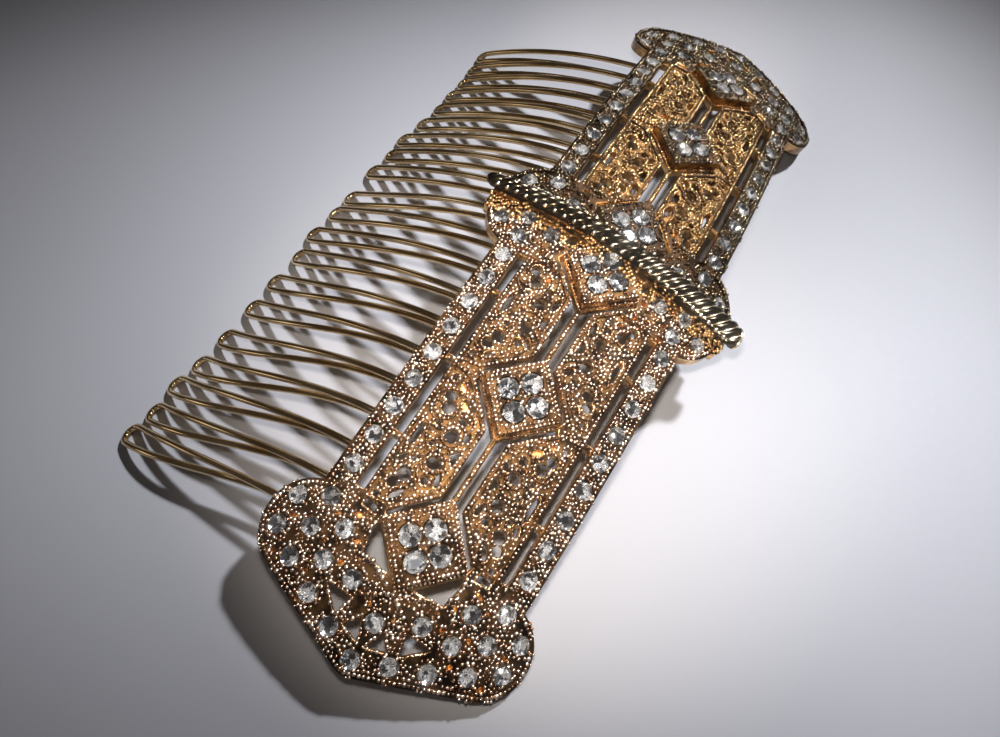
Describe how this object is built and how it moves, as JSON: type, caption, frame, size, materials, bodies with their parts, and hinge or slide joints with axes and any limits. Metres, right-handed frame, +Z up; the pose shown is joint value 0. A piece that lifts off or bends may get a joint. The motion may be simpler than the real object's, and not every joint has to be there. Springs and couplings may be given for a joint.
{
  "type": "bridal hair comb",
  "caption": "Bridal hair comb with a domed, pierced filigree ornament of two mirrored halves, round clear stones and a twisted rope ridge, on a row of hairpin wire teeth.",
  "frame": {"origin": "centre of the bounding box on the surface that the comb lies on", "axes": "+X along the ornament's length, from the far half to the near half; -Y from the ornament towards the tooth tips; +Z up, away from the surface"},
  "size_m": [0.1004, 0.0564, 0.0166],
  "materials": {
    "cast_gold": "cast and gold plated in a rose-yellow antique gold, dark in the recesses",
    "gold_wire": "drawn wire, polished and gold plated",
    "rhinestone": "clear cut rhinestone with a foiled back"
  },
  "bodies": {
    "root": {"near_plate": "cast_gold", "far_plate": "cast_gold", "rope_ridge": "cast_gold", "near_diamond_1_stone_1": "rhinestone", "near_diamond_1_stone_2": "rhinestone", "near_diamond_1_stone_3": "rhinestone", "near_diamond_1_stone_4": "rhinestone", "near_diamond_2_stone_1": "rhinestone", "near_diamond_2_stone_2": "rhinestone", "near_diamond_2_stone_3": "rhinestone", "near_diamond_2_stone_4": "rhinestone", "near_diamond_3_stone_1": "rhinestone", "near_diamond_3_stone_2": "rhinestone", "near_diamond_3_stone_3": "rhinestone", "near_diamond_3_stone_4": "rhinestone", "far_diamond_1_stone_1": "rhinestone", "far_diamond_1_stone_2": "rhinestone", "far_diamond_1_stone_3": "rhinestone", "far_diamond_1_stone_4": "rhinestone", "far_diamond_2_stone_1": "rhinestone", "far_diamond_2_stone_2": "rhinestone", "far_diamond_2_stone_3": "rhinestone", "far_diamond_2_stone_4": "rhinestone", "far_diamond_3_stone_1": "rhinestone", "far_diamond_3_stone_2": "rhinestone", "far_diamond_3_stone_3": "rhinestone", "far_diamond_3_stone_4": "rhinestone", "near_border_stones": "rhinestone", "far_border_stones": "rhinestone", "near_end_stones": "rhinestone", "far_end_stones": "rhinestone", "spine_bar": "gold_wire", "tooth_01": "gold_wire", "tooth_02": "gold_wire", "tooth_03": "gold_wire", "tooth_04": "gold_wire", "tooth_05": "gold_wire", "tooth_06": "gold_wire", "tooth_07": "gold_wire", "tooth_08": "gold_wire", "tooth_09": "gold_wire", "tooth_10": "gold_wire", "tooth_11": "gold_wire", "tooth_12": "gold_wire", "tooth_13": "gold_wire", "tooth_14": "gold_wire", "tooth_15": "gold_wire", "tooth_16": "gold_wire", "tooth_17": "gold_wire", "tooth_18": "gold_wire", "tooth_19": "gold_wire", "tooth_20": "gold_wire"}
  },
  "joints": []
}
